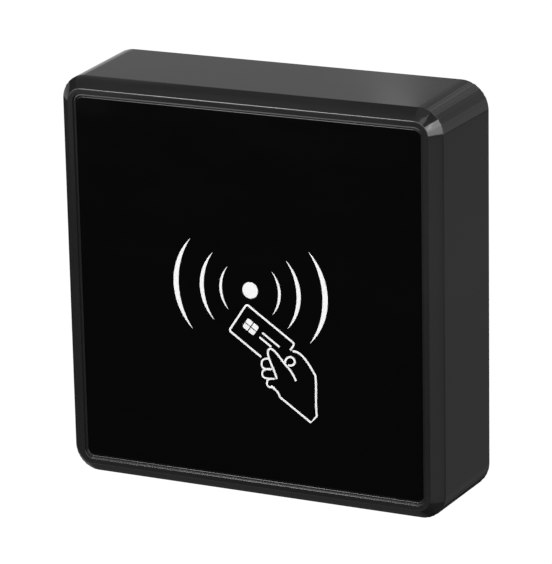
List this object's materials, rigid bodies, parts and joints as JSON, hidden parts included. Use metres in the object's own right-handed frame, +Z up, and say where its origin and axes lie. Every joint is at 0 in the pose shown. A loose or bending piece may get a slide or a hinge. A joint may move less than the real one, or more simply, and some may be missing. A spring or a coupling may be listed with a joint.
{
  "type": "rfid card reader",
  "caption": "Square wall-mounted card reader: tapered black case with a bevelled front, gloss panel, status window, hooked wall plate and locking screw.",
  "frame": {"origin": "centre of the wall plate's flat rear face, which lies on the wall", "axes": "+Y into the wall, so the front faces -Y; +X to the right seen from the front; +Z up"},
  "size_m": [0.086, 0.0254, 0.087],
  "materials": {
    "case_plastic": "satin",
    "gloss_panel": "gloss",
    "tape": "matte",
    "white_print": "satin",
    "light_window": "satin",
    "clear_plastic": "gloss",
    "led_body": "gloss",
    "board_green": "gloss",
    "copper_wire": "satin",
    "chip_black": "matte",
    "plated_metal": "satin",
    "can_aluminium": "satin",
    "ceramic_tan": "satin",
    "inner_plastic": "matte",
    "header_nylon": "satin",
    "brass_pins": "satin",
    "screw_steel": "satin",
    "cover_plastic": "matte",
    "black_rubber": "matte"
  },
  "bodies": {
    "wall_mount": {"wall_plate": "cover_plastic", "lock_insert": "brass_pins"},
    "case": {"front_housing": "case_plastic", "front_panel": "gloss_panel", "panel_tape": "tape", "wave_marks": "white_print", "card_symbol": "white_print", "status_window": "light_window", "light_guide": "clear_plastic", "light_shroud": "black_rubber", "status_led": "led_body", "circuit_board": "board_green", "antenna_coil": "copper_wire", "coil_leads": "copper_wire", "microcontroller": "chip_black", "reader_chip": "chip_black", "crystal": "plated_metal", "voltage_regulator": "chip_black", "electrolytic_capacitors": "can_aluminium", "protection_diodes": "chip_black", "signal_transistors": "chip_black", "chip_resistors": "chip_black", "chip_capacitors": "ceramic_tan", "buzzer": "inner_plastic", "cable_header": "header_nylon", "header_pins": "brass_pins", "tamper_switch": "inner_plastic", "tamper_spring": "plated_metal", "board_screws": "screw_steel", "rear_cover": "cover_plastic", "rear_seal": "black_rubber", "cover_screws": "screw_steel", "cable_grommet": "black_rubber"},
    "tamper_button": {"tamper_plunger": "header_nylon"},
    "locking_screw": {"security_screw": "screw_steel"}
  },
  "joints": [
    {"name": "case_swing", "type": "hinge", "parent": "wall_mount", "child": "case", "pos_m": [0, -0.0043, 0.0392], "axis": [-1, 0, 0], "range_deg": [0, 12]},
    {"name": "tamper_release", "type": "slide", "parent": "case", "child": "tamper_button", "axis": [0, 1, 0], "range_m": [0, 0.0015], "deforming": ["tamper_spring"]},
    {"name": "lock_drive", "type": "slide", "parent": "case", "child": "locking_screw", "axis": [0, 0, 1], "range_m": [0, 0.0025]}
  ],
  "couplings": [
    {"joint": "tamper_release", "follows": "case_swing", "m_per_rad": 0.00716}
  ]
}
